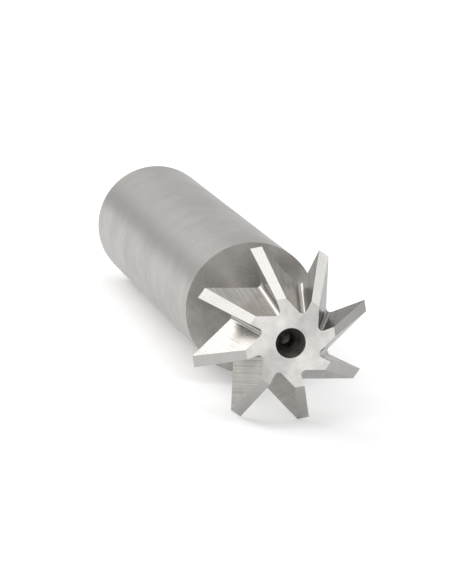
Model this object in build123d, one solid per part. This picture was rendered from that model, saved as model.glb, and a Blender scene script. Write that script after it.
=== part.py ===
from build123d import *
from math import atan2, cos, degrees, radians, sin, tan
import os

# Angle milling cutter with its small end at the front: a shank, a thin neck and a
# conical head of ground teeth, all one piece of hardened tool steel.
# Lengths in millimetres, angles in degrees.
# It is worked standing on its shank: the axis is Z, the front face looks up (+Z), and
# the shoulder where the shank begins is at Z 0. Last of all it is laid down.

# Head
cutting_diameter = 16.0      # across the tooth tips, at the back of the head
head_length = 4.0            # from the front face to the back of the teeth
cutting_angle = 45.0         # of the cutting edges, from the front face
tooth_count = 8
blank_allowance = 0.4        # turned oversize, and ground away with the lands

# Land, the narrow ground flat behind each cutting edge
land_width = 1.04            # at the tooth's tip
relief_angle = 10.7          # by which the land falls away behind its edge

# Gullet, the straight V-shaped groove between two teeth
rake_angle = -1.5            # of the cutting face, from a line through the axis
gullet_opening = 69.8        # between the cutting face and the next tooth's back
gullet_slope = 25.0          # of the groove's floor, from the axis
gullet_skew = 2.0            # by which the groove is turned out of the axial plane
gullet_root_radius = 0.4

# Neck
neck_diameter = 3.6
neck_length = 11.0
neck_fillet = 0.15           # at the head and at the shank

# Shank, a plain cylinder for a collet
shank_diameter = 12.0
shank_length = 45.0
shank_end_chamfer = 1.0

# Centre holes on which the cutter is turned and ground
countersink_angle = 60.0
front_pilot_diameter = 1.25
front_countersink_diameter = 2.65
front_pilot_depth = 2.7      # from the face to the end of the straight wall
end_pilot_diameter = 2.0
end_countersink_diameter = 4.25
end_pilot_depth = 4.2
drill_point_angle = 118.0

# Worked out from the sizes above
tip_radius = cutting_diameter / 2
face_radius = tip_radius - head_length / tan(radians(cutting_angle))
neck_radius = neck_diameter / 2
shank_radius = shank_diameter / 2
head_back = neck_length
head_front = neck_length + head_length
shank_end = -shank_length
tooth_pitch = 360 / tooth_count
reach = cutting_diameter     # past every surface of the head, for the cutting shapes

# The heel is the land's outer corner behind the tip. Here the tip lies on +X, and
# the tooth cuts towards +Y.
heel_x = tip_radius - land_width * sin(radians(relief_angle))
heel_y = -land_width * cos(radians(relief_angle))


def turn(x, y, angle):
    # A point of the head's plane, turned about the axis
    c = cos(radians(angle))
    s = sin(radians(angle))
    return x * c - y * s, x * s + y * c


def turned_blank():
    # Half section from the axis outwards, spun about the axis
    half = Polyline(
        (0, shank_end),
        (shank_radius - shank_end_chamfer, shank_end),
        (shank_radius, shank_end + shank_end_chamfer),
        (shank_radius, 0),
        (neck_radius, 0),
        (neck_radius, head_back),
        (tip_radius + blank_allowance, head_back),
        (face_radius + blank_allowance, head_front),
        (0, head_front),
        close=True,
    )
    section = make_face(Plane.XZ * half)
    inner_corners = section.vertices().filter_by(
        lambda v: abs(v.X - neck_radius) < 0.001 and -0.001 < v.Z < head_back + 0.001
    )
    section = fillet(inner_corners, neck_fillet)
    return revolve(section, Axis.Z)


def centre_hole(pilot_diameter, mouth_diameter, pilot_depth):
    # Mouth at Z 0, the hole going down
    pilot = pilot_diameter / 2
    mouth = mouth_diameter / 2
    cone_depth = (mouth - pilot) / tan(radians(countersink_angle / 2))
    point_depth = pilot / tan(radians(drill_point_angle / 2))
    half = Polyline(
        (0, 0),
        (mouth, 0),
        (pilot, -cone_depth),
        (pilot, -pilot_depth),
        (0, -pilot_depth - point_depth),
        close=True,
    )
    return revolve(make_face(Plane.XZ * half), Axis.Z)


def gullet():
    # The groove ahead of the tooth on +X. Its outline square to the axis is a V, drawn at
    # the back of the head and swept forwards and inwards along the sloping floor.
    back_x, back_y = turn(heel_x, heel_y, tooth_pitch)
    back_angle = rake_angle + gullet_opening
    # The root is where the cutting face's line meets that of the next tooth's back
    face_slope = tan(radians(rake_angle))
    back_slope = tan(radians(back_angle))
    root_x = (back_slope * back_x - back_y - face_slope * tip_radius) / (back_slope - face_slope)
    root_y = face_slope * (root_x - tip_radius)
    face_out = (root_x + reach * cos(radians(rake_angle)), root_y + reach * sin(radians(rake_angle)))
    back_out = (root_x + reach * cos(radians(back_angle)), root_y + reach * sin(radians(back_angle)))
    outline = make_face(Polyline((root_x, root_y), face_out, back_out, close=True))
    root = outline.vertices().sort_by_distance((root_x, root_y, 0))[0]
    outline = fillet(root, gullet_root_radius)
    forwards = Vector(-tan(radians(gullet_slope)), -tan(radians(gullet_skew)), 1)
    length = 2 * head_length
    start = Pos(0, 0, head_back) * outline
    ahead = extrude(start, length * forwards.length, dir=forwards.normalized())
    behind = extrude(start, head_length / 2 * forwards.length, dir=-forwards.normalized())
    return ahead + behind


def land_relief():
    # What is ground off above the land of the tooth on +X: a slab on the land's plane,
    # which holds the cutting edge and falls away behind it
    edge = Vector(-cos(radians(cutting_angle)), 0, sin(radians(cutting_angle)))
    fall = Vector(-sin(radians(relief_angle)), -cos(radians(relief_angle)), 0)
    land = Plane(origin=(tip_radius, 0, head_back), x_dir=edge, z_dir=edge.cross(fall))
    return land * Pos(0, 0, head_length / 2) * Box(4 * head_length, 4 * land_width, head_length)


def cutter():
    body = turned_blank()
    body -= Pos(0, 0, head_front) * centre_hole(
        front_pilot_diameter, front_countersink_diameter, front_pilot_depth
    )
    body -= Pos(0, 0, shank_end) * Rot(X=180) * centre_hole(
        end_pilot_diameter, end_countersink_diameter, end_pilot_depth
    )
    for tooth in range(tooth_count):
        around = Rot(Z=tooth * tooth_pitch)
        body -= around * gullet()
        body -= around * land_relief()
    return body


def laid_down(body):
    # Lying on its side it stands on one tooth's tip and the next tooth's heel, which
    # are turned level with each other at the bottom. The front face then looks along -Y.
    next_x, next_y = turn(heel_x, heel_y, tooth_pitch)
    roll = -degrees(atan2(next_y, next_x - tip_radius))
    return Rot(X=90) * Rot(Z=roll) * body


os.makedirs("parts", exist_ok=True)
export_step(laid_down(cutter()), "parts/cutter.step")
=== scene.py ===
import bpy
from math import atan2, cos, degrees, floor, hypot, pi, radians, sin, tan
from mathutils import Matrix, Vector


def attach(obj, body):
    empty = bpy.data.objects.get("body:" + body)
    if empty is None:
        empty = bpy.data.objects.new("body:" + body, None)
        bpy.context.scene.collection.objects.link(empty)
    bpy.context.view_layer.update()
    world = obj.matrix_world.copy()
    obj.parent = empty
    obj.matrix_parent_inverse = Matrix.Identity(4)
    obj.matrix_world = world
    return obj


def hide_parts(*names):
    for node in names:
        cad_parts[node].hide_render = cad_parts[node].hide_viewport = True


# An angle milling cutter of bright ground high speed steel, lying on a pale table.
# All lengths in the dictionaries are millimetres, and mm turns them into metres.

mm = 0.001
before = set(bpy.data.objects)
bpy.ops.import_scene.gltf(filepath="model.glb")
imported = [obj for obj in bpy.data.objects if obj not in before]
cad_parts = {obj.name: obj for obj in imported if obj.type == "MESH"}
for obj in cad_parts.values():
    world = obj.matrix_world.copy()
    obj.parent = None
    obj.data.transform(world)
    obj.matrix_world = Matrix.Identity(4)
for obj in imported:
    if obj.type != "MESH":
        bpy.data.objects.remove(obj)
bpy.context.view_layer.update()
print("frame loaded:", sorted(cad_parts))


# Small helpers

def linearColor(hexText):
    # sRGB hex to the linear values that Blender's shaders take
    parts = [int(hexText[i:i + 2], 16) / 255 for i in (1, 3, 5)]
    return [p / 12.92 if p <= 0.04045 else ((p + 0.055) / 1.055) ** 2.4 for p in parts] + [1.0]


def addNode(tree, kind, settings={}, links={}):
    # settings go to the node itself or to its sockets, links join sockets to outputs
    node = tree.nodes.new(kind)
    for name, value in settings.items():
        if hasattr(node, str(name)):
            setattr(node, name, value)
        else:
            node.inputs[name].default_value = value
    for name, output in links.items():
        tree.links.new(output, node.inputs[name])
    return node


def newMaterial(name):
    material = bpy.data.materials.new(name)
    material.use_nodes = True
    material.node_tree.nodes.clear()
    return material, material.node_tree


def deselectAll():
    if bpy.context.object and bpy.context.object.mode != "OBJECT":
        bpy.ops.object.mode_set(mode="OBJECT")
    bpy.ops.object.select_all(action="DESELECT")


# Camera, at the photograph's viewpoint

cameraPlace = {
    "place": (-66.268, -264.097, 50.247),
    "turn": (79.7473, -5.5069, -12.5898),   # degrees
    "focalPixels": 3083.74,                 # the focal length in pixels of that image
    "imageHeight": 584,
    "sensor": 36.0,
    "nearClip": 10.0,
    "farClip": 20000.0,
}


def makeCamera(look):
    data = bpy.data.cameras.new("camera")
    camera = bpy.data.objects.new("camera", data)
    bpy.context.scene.collection.objects.link(camera)
    camera.location = Vector(look["place"]) * mm
    camera.rotation_euler = [radians(a) for a in look["turn"]]
    data.sensor_width = look["sensor"]
    data.lens = look["focalPixels"] * look["sensor"] / look["imageHeight"]
    data.clip_start = look["nearClip"] * mm
    data.clip_end = look["farClip"] * mm
    bpy.context.scene.camera = camera


makeCamera(cameraPlace)
print("camera made")


# The cutter's sizes, as far as its finishes need them

cutterSizes = {
    "faceY": -15.0,
    "headBackY": -11.0,
    "shoulderY": 0.0,
    "frontMouthRadius": 1.325,
    "endMouthRadius": 2.125,
    "frontHoleEndY": -11.5,         # the front hole's faces lie ahead of this
    "endHoleStartY": 39.0,          # and those of the hole in the shank's end behind this
    "toothCount": 8,
    "firstToothAngle": -110.14,     # the lowest tooth's tip, from +X towards +Z
    "toothLead": 5.0,               # its faces begin this many degrees before its tip
    "grooveSlope": 25.0,            # the gullet's floor, from the axis
    "grooveSkew": 2.0,
    "grooveMiddle": 33.4,           # the middle of the V, from its tooth's tip
    "grooveHalfOpening": 34.9,
    "mapStep": 20.0,                # between the teeth's maps, so that no two show the same lines
    "smoothAngle": 20.0,            # edges turned by more stay sharp
    "mergeGap": 0.0005,
}


# Materials

steel = {
    "edge": "#d8d8d8",          # it turns less white than other metals where it is seen at a slant
    "fineShare": 0.6,           # how much each finer step of the lines still shows
    "cloudDetail": 2.0,
    "noiseMiddle": 0.5,         # what a noise gives on average
    "toneSpan": 0.22,           # each way from that middle, to the dark and to the bright tone
    "ringTurn": 0.25,           # a quarter turn, which draws the shine out across the rings
}


# Tangents for the two kinds of lines: rings round the axis, and straight strokes
aroundAxis = {"direction_type": "RADIAL", "axis": "Y"}
acrossLines = {"direction_type": "UV_MAP", "uv_map": "grinding"}


def steelFinish(name, look, coordinates, tangent):
    # Bare steel as a wheel or a turning tool leaves it. One noise, stretched along the lines,
    # gives their height, their tone and their roughness, and a second gives soft clouds.
    material, tree = newMaterial(name)
    lines = addNode(tree, "ShaderNodeTexNoise", {
        "Scale": 1.0, "Detail": look["detail"], "Roughness": steel["fineShare"]},
        {"Vector": coordinates(tree, look)})
    place = addNode(tree, "ShaderNodeTexCoord")
    clouds = addNode(tree, "ShaderNodeTexNoise", {
        "Scale": 1 / (look["cloudSize"] * mm), "Detail": steel["cloudDetail"]},
        {"Vector": place.outputs["Object"]})
    both = addNode(tree, "ShaderNodeMath", {
        "operation": "MULTIPLY_ADD", 1: look["cloudShare"]},
        {0: clouds.outputs["Fac"], 2: lines.outputs["Fac"]})
    middle = steel["noiseMiddle"] * (1 + look["cloudShare"])
    share = addNode(tree, "ShaderNodeMapRange", {
        "From Min": middle - steel["toneSpan"], "From Max": middle + steel["toneSpan"]},
        {"Value": both.outputs[0]})
    tone = addNode(tree, "ShaderNodeMix", {
        "data_type": "RGBA", 6: linearColor(look["darkLine"]), 7: linearColor(look["brightLine"])},
        {0: share.outputs[0]})
    gloss = addNode(tree, "ShaderNodeMapRange", {
        "To Min": look["roughness"] + look["roughnessSpread"],
        "To Max": look["roughness"] - look["roughnessSpread"]}, {"Value": share.outputs[0]})
    relief = addNode(tree, "ShaderNodeBump", {
        "Strength": 1.0, "Distance": look["depth"] * mm}, {"Height": lines.outputs["Fac"]})
    links = {
        "Base Color": tone.outputs[2],
        "Roughness": gloss.outputs[0],
        "Normal": relief.outputs[0],
    }
    settings = {
        "Metallic": 1.0,
        "Anisotropic": look["anisotropic"],
        "Specular Tint": linearColor(steel["edge"]),
    }
    if tangent:
        links["Tangent"] = addNode(tree, "ShaderNodeTangent", tangent).outputs[0]
        if tangent == aroundAxis:
            settings["Anisotropic Rotation"] = steel["ringTurn"]
    shader = addNode(tree, "ShaderNodeBsdfPrincipled", settings, links)
    addNode(tree, "ShaderNodeOutputMaterial", {}, {"Surface": shader.outputs[0]})
    return material


def ringScale(look):
    # Long round the axis, which is Y, and narrow from ring to ring
    along, across = 1 / (look["run"] * mm), 1 / (look["spacing"] * mm)
    return along, across, along


def onPiece(tree, look):
    # Lines that run round the axis and follow each other along it
    place = addNode(tree, "ShaderNodeTexCoord")
    turn = addNode(tree, "ShaderNodeMapping", {"Scale": ringScale(look)}, {
        "Vector": place.outputs["Object"]})
    return turn.outputs[0]


def onRadius(tree, look):
    # Lines that run round the axis and follow each other outwards
    place = addNode(tree, "ShaderNodeTexCoord")
    apart = addNode(tree, "ShaderNodeSeparateXYZ", {}, {0: place.outputs["Object"]})
    flat = addNode(tree, "ShaderNodeCombineXYZ", {}, {0: apart.outputs[0], 2: apart.outputs[2]})
    radius = addNode(tree, "ShaderNodeVectorMath", {"operation": "LENGTH"}, {0: flat.outputs[0]})
    rings = addNode(tree, "ShaderNodeCombineXYZ", {}, {
        0: apart.outputs[0], 1: radius.outputs["Value"], 2: apart.outputs[2]})
    turn = addNode(tree, "ShaderNodeMapping", {"Scale": ringScale(look)}, {
        "Vector": rings.outputs[0]})
    return turn.outputs[0]


def onLines(tree, look):
    # The piece's own map in millimetres: across the grinding lines, and along them
    lines = addNode(tree, "ShaderNodeUVMap", {"uv_map": "grinding"})
    turn = addNode(tree, "ShaderNodeMapping", {
        "Scale": (1 / look["spacing"], 1 / look["run"], 1.0)}, {"Vector": lines.outputs[0]})
    return turn.outputs[0]


# In each finish, spacing and run are a line's width and length, depth goes from crest to trough
# and cloudSize is the width of the soft clouds in the tone. Real lines are only one to three
# hundredths of a millimetre wide, too fine to show in the render, so they are drawn as coarse
# as they need to show.

# The lands: tool steel finished last with a fine wheel, so bright, with hardly a line in it
landFinish = {
    "darkLine": "#a8a6a3", "brightLine": "#b6b4b1",
    "roughness": 0.24, "roughnessSpread": 0.03,
    "anisotropic": 0.3,
    "spacing": 0.06, "run": 0.25, "detail": 2.0,
    "depth": 0.0001,
    "cloudSize": 2.0, "cloudShare": 0.3,
}

# The gullets: ground from the solid with a coarser wheel, whose long strokes run along the
# groove and break its mirror-like shine into streaks
gulletFinish = {
    "darkLine": "#908d8a", "brightLine": "#bfbcb7",
    "roughness": 0.24, "roughnessSpread": 0.04,
    "anisotropic": 0.6,
    "spacing": 0.11, "run": 16.0, "detail": 3.0,
    "depth": 0.002,
    "cloudSize": 1.5, "cloudShare": 0.3,
}

# The front face: ground flat while it turned, which leaves faint rings and soft fans of light
faceFinish = {
    "darkLine": "#cbc8c5", "brightLine": "#d8d5d2",
    "roughness": 0.35, "roughnessSpread": 0.03,
    "anisotropic": 0.85,
    "spacing": 0.07, "run": 0.6, "detail": 3.0,
    "depth": 0.0001,
    "cloudSize": 0.9, "cloudShare": 1.5,
}

# The shank's two faces: turned, which leaves fine broken rings and soft fans of light
turnedFinish = {
    "darkLine": "#aeaba7", "brightLine": "#cbc8c4",
    "roughness": 0.36, "roughnessSpread": 0.03,
    "anisotropic": 0.8,
    "spacing": 0.09, "run": 0.5, "detail": 3.0,
    "depth": 0.0003,
    "cloudSize": 2.5, "cloudShare": 1.0,
}

# Neck and back of the head: turned, and left duller by the hardening; their darker colour is
# painted shade, for the shade in the recess between the head and the shoulder
neckPaintedShadeFinish = {
    "darkLine": "#8a8681", "brightLine": "#9a9691",
    "roughness": 0.42, "roughnessSpread": 0.05,
    "anisotropic": 0.6,
    "spacing": 0.12, "run": 2.0, "detail": 2.0,
    "depth": 0.0008,
    "cloudSize": 2.5, "cloudShare": 1.0,
}

# The shank: ground between centres, which leaves it satin, with fine lines round it
shankFinish = {
    "darkLine": "#b8b5b2", "brightLine": "#cbc8c5",
    "roughness": 0.33, "roughnessSpread": 0.03,
    "anisotropic": 0.25,
    "spacing": 0.13, "run": 1.2, "detail": 3.0,
    "depth": 0.0004,
    "cloudSize": 4.0, "cloudShare": 0.8,
}

# The centre holes: drilled, and lapped only at the mouth, so dull inside; their dark colour is
# painted shade, for the shade deep in the holes
holePaintedShadeFinish = {
    "darkLine": "#4b4844", "brightLine": "#7d7973",
    "roughness": 0.5, "roughnessSpread": 0.08,
    "anisotropic": 0.0,
    "spacing": 0.2, "run": 1.0, "detail": 3.0,
    "depth": 0.004,
    "cloudSize": 0.6, "cloudShare": 1.0,
}


# The cutter itself: a merged copy of the frame's solid, finished zone by zone

zoneLimits = {
    "faceGap": 0.01,        # a face this near the front plane lies in it
    "planeGap": 0.001,      # and this near any other plane square to the axis
    "lean": 0.6,            # lands, end faces and chamfer look along the axis by more than this
    "flat": 0.95,           # and a flat end by more than this, which tells it from a hole's wall
    "shoulder": 0.99,       # and the shoulder by more than this, which tells it from the fillet
}


def zoneOf(center, normal, size, limits):
    # Which finish a face has, by its place and the way it looks
    x, y, z = center / mm
    radius = hypot(x, z)
    inFrontMouth = y < size["frontHoleEndY"] and radius < size["frontMouthRadius"]
    inEndMouth = y > size["endHoleStartY"] and radius < size["endMouthRadius"]
    if inFrontMouth and normal.y > -limits["flat"]:
        return "hole"
    if inEndMouth and normal.y < limits["flat"]:
        return "hole"
    if y < size["faceY"] + limits["faceGap"]:
        return "face"
    if y < size["headBackY"] - limits["planeGap"]:
        return "land" if normal.y < -limits["lean"] else "gullet"
    if y < size["headBackY"] + limits["planeGap"]:
        return "back"
    if y < size["shoulderY"] - limits["planeGap"] and abs(normal.y) < limits["shoulder"]:
        return "neck"
    return "turned" if abs(normal.y) > limits["lean"] else "shank"


def mapGrinding(cutter, size):
    # A map in millimetres for the gullets and lands: across the lines, then along them
    layer = cutter.data.uv_layers.new(name="grinding")
    pitch = 360 / size["toothCount"]
    for polygon in cutter.data.polygons:
        x, y, z = polygon.center
        past = degrees(atan2(z, x)) - size["firstToothAngle"] + size["toothLead"]
        tooth = floor((past % 360) / pitch)
        turn = radians(size["firstToothAngle"] + pitch * tooth)
        outwards = Vector((cos(turn), 0, sin(turn)))
        ahead = Vector((-sin(turn), 0, cos(turn)))
        groove = Vector((0, -1, 0))
        groove -= tan(radians(size["grooveSlope"])) * outwards
        groove -= tan(radians(size["grooveSkew"])) * ahead
        # Sideways in the groove, measured along its leaning walls
        side = turn + radians(size["grooveMiddle"] + 90)
        sideways = Vector((cos(side), 0, sin(side))) / sin(radians(size["grooveHalfOpening"]))
        for loop in polygon.loop_indices:
            point = cutter.data.vertices[cutter.data.loops[loop].vertex_index].co / mm
            # Carried along the groove to the back of the head
            home = point + groove * (point.y - size["headBackY"])
            across = home.dot(sideways) + size["mapStep"] * tooth
            layer.data[loop].uv = (across, point.y * groove.length)


zones = {
    "land": ("tool steel, finish ground lands", landFinish, onLines, acrossLines),
    "gullet": ("tool steel, ground gullets", gulletFinish, onLines, acrossLines),
    "face": ("tool steel, ground front face", faceFinish, onRadius, aroundAxis),
    "turned": ("tool steel, turned faces", turnedFinish, onRadius, aroundAxis),
    # The back of the head and the neck carry painted shade: a darker colour for the recess behind
    # the head
    "back": ("tool steel, turned back of the head, painted shade", neckPaintedShadeFinish, onRadius, aroundAxis),
    "neck": ("tool steel, turned neck, painted shade", neckPaintedShadeFinish, onPiece, aroundAxis),
    "shank": ("tool steel, ground shank", shankFinish, onPiece, aroundAxis),
    # The holes carry painted shade: a dark colour for the shade inside them
    "hole": ("tool steel, drilled holes, painted shade", holePaintedShadeFinish, onPiece, None),
}


def makeCutter(size, limits):
    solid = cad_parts["cutter"]
    deselectAll()
    solid.select_set(True)
    bpy.context.view_layer.objects.active = solid
    bpy.ops.object.duplicate()
    cutter = bpy.context.object
    cutter.name = "cutter_ground"
    cutter.parent = None
    for key in list(cutter.keys()):     # the copy is a piece of its own, not a node
        del cutter[key]
    cutter.data.materials.clear()
    bpy.ops.object.mode_set(mode="EDIT")
    bpy.ops.mesh.select_all(action="SELECT")
    bpy.ops.mesh.remove_doubles(threshold=size["mergeGap"] * mm)
    bpy.ops.mesh.customdata_custom_splitnormals_clear()
    bpy.ops.object.mode_set(mode="OBJECT")
    while cutter.data.uv_layers:
        cutter.data.uv_layers.remove(cutter.data.uv_layers[0])
    for finish in zones.values():
        cutter.data.materials.append(steelFinish(*finish))
    order = list(zones)
    for polygon in cutter.data.polygons:
        zone = zoneOf(polygon.center, polygon.normal, size, limits)
        polygon.material_index = order.index(zone)
    mapGrinding(cutter, size)
    bpy.ops.object.shade_smooth_by_angle(angle=radians(size["smoothAngle"]))
    return cutter


cutter = makeCutter(cutterSizes, zoneLimits)
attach(cutter, "root")
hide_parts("cutter")
print("cutter finished:", len(cutter.data.polygons), "faces")


# Table, cards and lamps

tableLook = {
    "color": "#fafafa",
    "lift": 0.15,           # what camera and mirrors see on top, so that the lit table is white
    "size": 1000.0,         # small enough that no far part falls outside the lamps' light
    "tipDrop": 7.5116,      # the lowest tip under the axis
    "tipY": -11.0,
    "endDrop": 6.0,         # the shank's end under the axis, where its chamfer begins
    "endY": 44.0,
}


def seenDirectly(tree):
    # 1 for what the camera sees, straight or in a mirror or glass,
    # and 0 for light on dull surfaces
    path = addNode(tree, "ShaderNodeLightPath")
    direct = addNode(tree, "ShaderNodeMath", {"operation": "MAXIMUM"}, {
        0: path.outputs["Is Camera Ray"], 1: path.outputs["Is Glossy Ray"]})
    direct = addNode(tree, "ShaderNodeMath", {"operation": "MAXIMUM"}, {
        0: direct.outputs[0], 1: path.outputs["Is Transmission Ray"]})
    return direct.outputs[0]


def makeTable(look):
    # White and matt, so that it shows the cutter's soft shadow and no reflection
    material, tree = newMaterial("white table")
    shader = addNode(tree, "ShaderNodeBsdfDiffuse", {"Color": linearColor(look["color"])})
    lift = addNode(tree, "ShaderNodeEmission", {"Strength": look["lift"]})
    none = addNode(tree, "ShaderNodeEmission", {"Strength": 0.0})
    seen = addNode(tree, "ShaderNodeMixShader", {}, {
        0: seenDirectly(tree), 1: none.outputs[0], 2: lift.outputs[0]})
    total = addNode(tree, "ShaderNodeAddShader", {}, {0: shader.outputs[0], 1: seen.outputs[0]})
    addNode(tree, "ShaderNodeOutputMaterial", {}, {"Surface": total.outputs[0]})
    # It touches the lowest tips and the lower edge of the shank's end
    slope = atan2(look["tipDrop"] - look["endDrop"], look["endY"] - look["tipY"])
    deselectAll()
    bpy.ops.mesh.primitive_plane_add(size=look["size"] * mm)
    table = bpy.context.object
    table.name = "table"
    table.rotation_euler = (slope, 0, 0)
    table.location = Vector((0, look["tipY"], -look["tipDrop"])) * mm
    table.data.materials.append(material)


# A plain white room, as the camera and the steel see it, with less of its light on the table
roomLook = {
    "color": "#ffffff",
    "seenShine": 1.0,
    "tableShine": 0.7,
}


def makeWorld(look):
    world = bpy.data.worlds.new("studio")
    bpy.context.scene.world = world
    world.use_nodes = True
    tree = world.node_tree
    tree.nodes.clear()
    color = linearColor(look["color"])
    seen = addNode(tree, "ShaderNodeBackground", {"Color": color, "Strength": look["seenShine"]})
    dim = addNode(tree, "ShaderNodeBackground", {"Color": color, "Strength": look["tableShine"]})
    mix = addNode(tree, "ShaderNodeMixShader", {}, {
        0: seenDirectly(tree), 1: dim.outputs[0], 2: seen.outputs[0]})
    addNode(tree, "ShaderNodeOutputWorld", {}, {"Surface": mix.outputs[0]})


# Upright cards, which the steel shows as its darker sides. A shine of 1 is white, and a bearing
# runs from +X towards +Y.
cards = {
    "backCard": {
        "shine": 0.52, "bearing": 97, "distance": 900, "low": 390, "high": 810, "width": 1060},
    "slantCard": {
        "shine": 0.72, "bearing": 32, "distance": 900, "low": -7, "high": 930, "width": 850},
    "darkCard": {
        "shine": 0.15, "bearing": 35, "distance": 850, "low": 410, "high": 690, "width": 640},
    "rightCard": {
        "shine": 0.06, "bearing": -36, "distance": 900, "low": -7, "high": 570, "width": 1310},
    "leftCard": {
        "shine": 0.42, "bearing": 128, "distance": 900, "low": -7, "high": 255, "width": 1370},
    "paleCard": {
        "shine": 0.88, "bearing": 117, "distance": 870, "low": -7, "high": 168, "width": 215},
}


def makeCard(name, look):
    material, tree = newMaterial(name)
    glow = addNode(tree, "ShaderNodeEmission", {"Strength": look["shine"]})
    addNode(tree, "ShaderNodeOutputMaterial", {}, {"Surface": glow.outputs[0]})
    deselectAll()
    bpy.ops.mesh.primitive_plane_add(size=1)
    card = bpy.context.object
    card.name = name
    bearing = radians(look["bearing"])
    distance = look["distance"] * mm
    card.scale = (look["width"] * mm, (look["high"] - look["low"]) * mm, 1)
    card.rotation_euler = (radians(90), 0, bearing - radians(90))
    card.location = (
        distance * cos(bearing), distance * sin(bearing), (look["low"] + look["high"]) / 2 * mm)
    card.data.materials.append(material)
    # Only the steel sees it, so it takes no light from the table
    card.visible_camera = False
    card.visible_diffuse = False
    card.visible_shadow = False


# Soft boxes, each turned to the cutter. The brightness is added to the white room behind it.
# frontBox is small and not far from the camera: it gives the shoulder its fan of light.
lamps = {
    "topBox": {
        "shine": 1.29, "bearing": 257, "height": 74.5, "distance": 600, "size": (315, 328)},
    "leftBox": {
        "shine": 1.3, "bearing": 209, "height": 30.5, "distance": 600, "size": (385, 301)},
    "backBox": {
        "shine": 1.85, "bearing": 137, "height": 38, "distance": 600, "size": (450, 410)},
    "rightBox": {
        "shine": 0.92, "bearing": 358, "height": 42.7, "distance": 600, "size": (250, 210)},
    "frontBox": {
        "shine": 5.0, "bearing": 258, "height": 23, "distance": 600, "size": (150, 150)},
}


def makeLamp(name, look):
    data = bpy.data.lights.new(name, "AREA")
    data.shape = "RECTANGLE"
    data.size, data.size_y = look["size"][0] * mm, look["size"][1] * mm
    data.energy = look["shine"] * pi * data.size * data.size_y     # the power for that brightness
    lamp = bpy.data.objects.new(name, data)
    bpy.context.scene.collection.objects.link(lamp)
    bearing, height = radians(look["bearing"]), radians(look["height"])
    away = Vector((cos(height) * cos(bearing), cos(height) * sin(bearing), sin(height)))
    lamp.location = away * look["distance"] * mm
    lamp.rotation_euler = lamp.location.to_track_quat("Z", "Y").to_euler()


makeTable(tableLook)
makeWorld(roomLook)
for name, look in cards.items():
    makeCard(name, look)
for name, look in lamps.items():
    makeLamp(name, look)
bpy.context.scene.view_settings.view_transform = "Standard"
print("table and light made")
